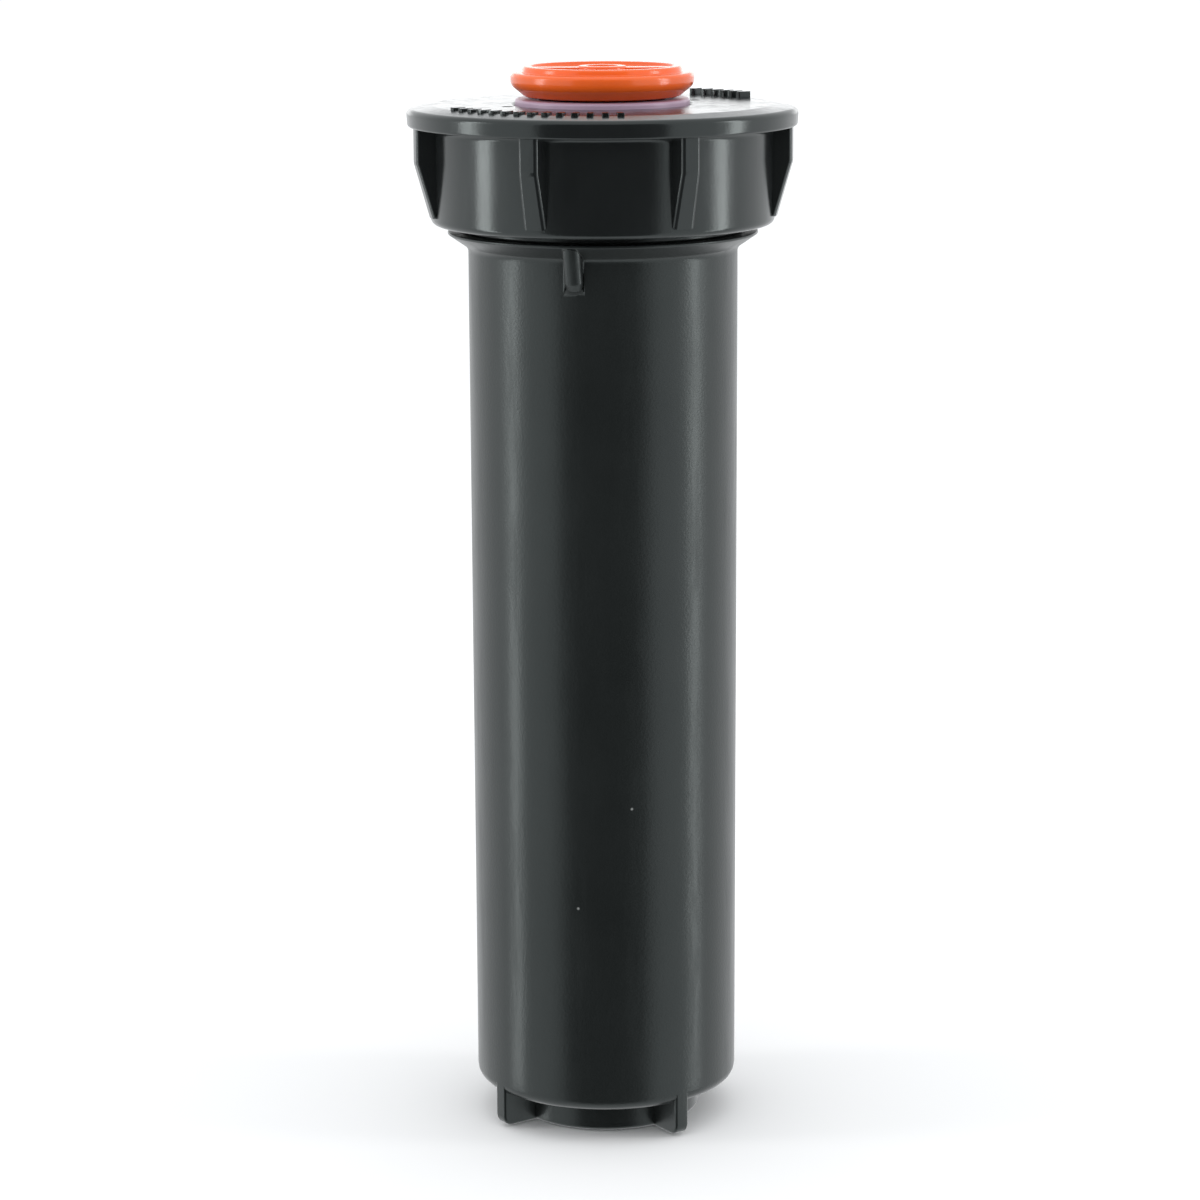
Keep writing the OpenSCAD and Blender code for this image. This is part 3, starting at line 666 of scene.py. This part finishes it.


# ---- Springs -----------------------------------------------------------------------------------
# The retract spring and the regulator's spring: drawn stainless wire, wound cold, with one closed
# coil at each end.
def wound(mean_r, wire, low_z, high_z, coils, around=48, sides=16):
    """A bmesh of a round wire wound up from low_z to high_z, with a closed coil at each end."""
    bm = bmesh.new()
    section = bmesh.ops.create_circle(bm, cap_ends=True, radius=wire / 2, segments=sides)["verts"]
    bmesh.ops.rotate(bm, verts=section, cent=(0, 0, 0), matrix=Matrix.Rotation(math.pi / 2, 3, "X"))
    bmesh.ops.translate(bm, vec=(mean_r, 0, low_z + wire / 2), verts=section)
    climb = high_z - low_z - wire
    open_coils = coils - 2
    moving = bm.verts[:] + bm.edges[:] + bm.faces[:]
    for turns, rise in ((1, wire), (open_coils, climb - 2 * wire), (1, wire)):
        steps = int(turns * around)
        swept = bmesh.ops.spin(bm, geom=moving, axis=(0, 0, 1), cent=(0, 0, 0), steps=steps,
                               angle=math.tau * turns, dvec=(0, 0, rise / steps), use_merge=False)
        moving = swept["geom_last"]
    bmesh.ops.recalc_face_normals(bm, faces=bm.faces)
    return bm


def drawn_wire(name, dark, bright):
    """Bare drawn wire: fine scores round the coils and a little variation of its shine."""
    score_depth = 0.05 * MM
    stuff = bpy.data.materials.new(name)
    stuff.use_nodes = True
    tree = stuff.node_tree
    shader = tree.nodes["Principled BSDF"]
    place = node(tree, "ShaderNodeTexCoord")
    stretch = node(tree, "ShaderNodeMapping")
    stretch.inputs["Scale"].default_value = (0.3, 0.3, 3.0)
    scores = node(tree, "ShaderNodeTexNoise", Scale=900.0, Detail=6.0, Roughness=0.7)
    tint = node(tree, "ShaderNodeMix", data_type="RGBA")
    tint.inputs["A"].default_value = (*dark, 1)
    tint.inputs["B"].default_value = (*bright, 1)
    score = node(tree, "ShaderNodeBump", Strength=0.25, Distance=score_depth)
    tree.links.new(place.outputs["Object"], stretch.inputs["Vector"])
    tree.links.new(stretch.outputs["Vector"], scores.inputs["Vector"])
    tree.links.new(scores.outputs["Fac"], tint.inputs["Factor"])
    tree.links.new(scores.outputs["Fac"], score.inputs["Height"])
    tree.links.new(tint.outputs["Result"], shader.inputs["Base Color"])
    tree.links.new(remapped(tree, scores.outputs["Fac"], 0, 1, 0.16, 0.42), shader.inputs["Roughness"])
    tree.links.new(score.outputs["Normal"], shader.inputs["Normal"])
    shader.inputs["Metallic"].default_value = 1
    return stuff


steel = drawn_wire("spring_wire", (0.40, 0.40, 0.39), (0.62, 0.62, 0.61))
spring_low, spring_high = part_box("retract_spring")
wire_d = 1.2
retract_coils = 12
retract_r = spring_high.x / MM - wire_d / 2
spring_z = spring_low.z / MM
retract = piece_from(wound(retract_r, wire_d, spring_z, spring_top_z, retract_coils), "retract_coil")
smooth_skin(retract)
dress(retract, steel, "seal_set", "spring_steel", "retract_spring")
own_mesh(retract)

reg_low, reg_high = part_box("regulator_spring")
reg_wire_d = 0.8
reg_coils = 7
reg_r = reg_high.x / MM - reg_wire_d / 2
chamber_z = reg_low.z / MM
head_z = reg_high.z / MM
regulator_coil = piece_from(wound(reg_r, reg_wire_d, chamber_z, head_z, reg_coils), "regulator_coil")
smooth_skin(regulator_coil)
dress(regulator_coil, steel, "riser", "spring_steel", "regulator_spring")
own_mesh(regulator_coil)


# ---- Regulator ---------------------------------------------------------------------------------
# The pressure regulator inside the riser: a natural acetal sleeve with a partition, a hollow
# plunger with a piston head, a snap-in end cap, and a soft seat that the plunger closes on.
housing_low, housing_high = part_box("regulator_housing")
housing_r = housing_high.x / MM
housing_z = housing_low.z / MM
housing_top_z = housing_high.z / MM
chamber_r = housing_r - 1.9
partition_h = 3
partition_z = chamber_z - partition_h
plunger_low, plunger_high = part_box("regulator_plunger")
plunger_z = plunger_low.z / MM
plunger_r = 3.35
plunger_bore_r = plunger_r - 1.15
plunger_fit_r = plunger_r + 0.1
head_top_z = plunger_high.z / MM
head_r = plunger_high.x / MM
ring_s = 0.8
small_ring_s = 0.66
slot_gap = 0.05
slot_root_r = plunger_fit_r + 2 * ring_s
slot_floor_r = stem_bore_r - slot_gap - 2 * small_ring_s
head_slot_r = chamber_r - slot_gap - 2 * ring_s
head_slot_z = head_z + 1.75
ring_slots = (housing_z + 2.2, partition_z + 1.2)
cover_low, cover_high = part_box("regulator_end_cap")
cover_z = cover_low.z / MM
cover_top_z = cover_high.z / MM
cover_bore_r = plunger_r + 0.8


def slot_corners(inner, outer, middle_z, s):
    """The four corners of a ring's groove in an outline, taken from the bottom up."""
    low = middle_z - s - slot_gap
    high = middle_z + s + slot_gap
    return [(outer, low, 0.1), (inner, low, 0.1), (inner, high, 0.1), (outer, high, 0.1)]


housing_outline = [(chamber_r, housing_z, 0.3), (housing_r, housing_z, 0.3)]
for middle_z in ring_slots:
    housing_outline += slot_corners(slot_floor_r, housing_r, middle_z, small_ring_s)
housing_outline += [(housing_r, housing_top_z, 0.3), (chamber_r, housing_top_z, 0.3),
                    (chamber_r, chamber_z, 0.4), (plunger_fit_r, chamber_z, 0.2)]
housing_outline += slot_corners(slot_root_r, plunger_fit_r, chamber_z - partition_h / 2, ring_s)[::-1]
housing_outline += [(plunger_fit_r, partition_z, 0.2), (chamber_r, partition_z, 0.4)]
plunger_outline = [(plunger_bore_r, plunger_z, 0.1), (plunger_r - 0.4, plunger_z, 0.1),
                   (plunger_r, plunger_z + 0.6, 0.2), (plunger_r, head_z, 0.3), (head_r, head_z, 0.25)]
plunger_outline += slot_corners(head_slot_r, head_r, head_slot_z, ring_s)
plunger_outline += [(head_r, head_top_z, 0.25), (plunger_bore_r, head_top_z, 0.4)]
cover_outline = [(cover_bore_r, cover_z, 0.3), (housing_r, cover_z, 0.2),
                 (housing_r, cover_top_z, 0.6), (cover_bore_r, cover_top_z, 0.5)]
for label, outline, body, node_name in (
        ("regulator_sleeve", housing_outline, "riser", "regulator_housing"),
        ("regulator_piston", plunger_outline, "plunger", "regulator_plunger"),
        ("regulator_cover", cover_outline, "riser", "regulator_end_cap")):
    made = piece_from(turned(outline, around=96, steps=3), label)
    smooth_skin(made)
    dress(made, acetal, body, "natural_acetal", node_name)

seal_rubber = moulded("seal_rubber", deep=(0.014, 0.014, 0.015), pale=(0.024, 0.024, 0.025),
                      rough=0.38, grain=0.12, grain_size=1800, flow=0.2)
seat_low, seat_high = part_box("regulator_seat")
seat_r = seat_high.x / MM
seat_foot_z = seat_low.z / MM
seat_top_z = seat_high.z / MM
reg_seat = piece_from(turned([(0, seat_foot_z, 0), (seat_r, seat_foot_z, 0.2), (seat_r, seat_top_z, 0.3),
                              (0, seat_top_z, 0)], around=64), "regulator_soft_seat")
smooth_skin(reg_seat)
dress(reg_seat, seal_rubber, "riser", "seal_rubber", "regulator_seat")


# ---- Check valve -------------------------------------------------------------------------------
# A black rubber disc that closes the inlet while the riser is down, held up against the grey cage
# by a natural acetal rivet. The cage is one moulding that is pressed into the riser's foot.
disc_low, disc_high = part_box("check_valve_seal")
rivet_low, rivet_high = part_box("check_valve_rivet")
disc_r = disc_high.x / MM
disc_z = disc_low.z / MM
disc_top_z = disc_high.z / MM
rivet_r = 1.9
rivet_head_r = rivet_high.x / MM
rivet_z = rivet_low.z / MM
rivet_neck_z = rivet_z + 1
rivet_top_z = rivet_high.z / MM
disc = piece_from(turned([(rivet_r, disc_z, 0.1), (disc_r, disc_z, 0.35), (disc_r, disc_top_z, 0.2),
                          (rivet_r, disc_top_z, 0.1)], around=128), "check_valve_disc")
smooth_skin(disc)
dress(disc, seal_rubber, "riser", "seal_rubber", "check_valve_seal")
rivet = piece_from(turned([
    (0, rivet_z, 0), (rivet_head_r, rivet_z, 0.5), (rivet_head_r, rivet_neck_z, 0.15),
    (rivet_r, rivet_neck_z, 0.1), (rivet_r, rivet_top_z, 0.4), (0, rivet_top_z, 0)], around=64),
    "check_valve_pin")
smooth_skin(rivet)
dress(rivet, acetal, "riser", "natural_acetal", "check_valve_rivet")
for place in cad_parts["inlet_cage"].material_slots:
    place.material = grey


# ---- O-rings -----------------------------------------------------------------------------------
# Moulded nitrile rings of round section: one on the plug, one in the plunger's head, one in the
# regulator's partition, and a pair that seal the regulator's sleeve in the riser.
def o_ring(name, section_r, body, node_name, *heights):
    """The rings of one node, each of section radius section_r, at the heights given."""
    low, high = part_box(node_name)
    centre_r = high.x / MM - section_r
    bm = bmesh.new()
    for middle_z in heights or ((low.z + high.z) / 2 / MM,):
        section = bmesh.ops.create_circle(bm, radius=section_r, segments=32)["verts"]
        upright = Matrix.Rotation(math.pi / 2, 3, "X")
        bmesh.ops.rotate(bm, verts=section, cent=(0, 0, 0), matrix=upright)
        bmesh.ops.translate(bm, vec=(centre_r, 0, middle_z), verts=section)
        rim = list({e for v in section for e in v.link_edges})
        bmesh.ops.spin(bm, geom=section + rim, axis=(0, 0, 1), cent=(0, 0, 0), steps=128,
                       angle=math.tau, use_merge=True)
    made = piece_from(bm, name)
    smooth_skin(made)
    dress(made, seal_rubber, body, "seal_rubber", node_name)


o_ring("plug_ring", ring_s, "plug", "plug_o_ring")
o_ring("piston_ring", ring_s, "plunger", "plunger_upper_o_ring")
o_ring("partition_ring", ring_s, "riser", "plunger_lower_o_ring")
o_ring("sleeve_rings", small_ring_s, "riser", "housing_o_rings", *ring_slots)
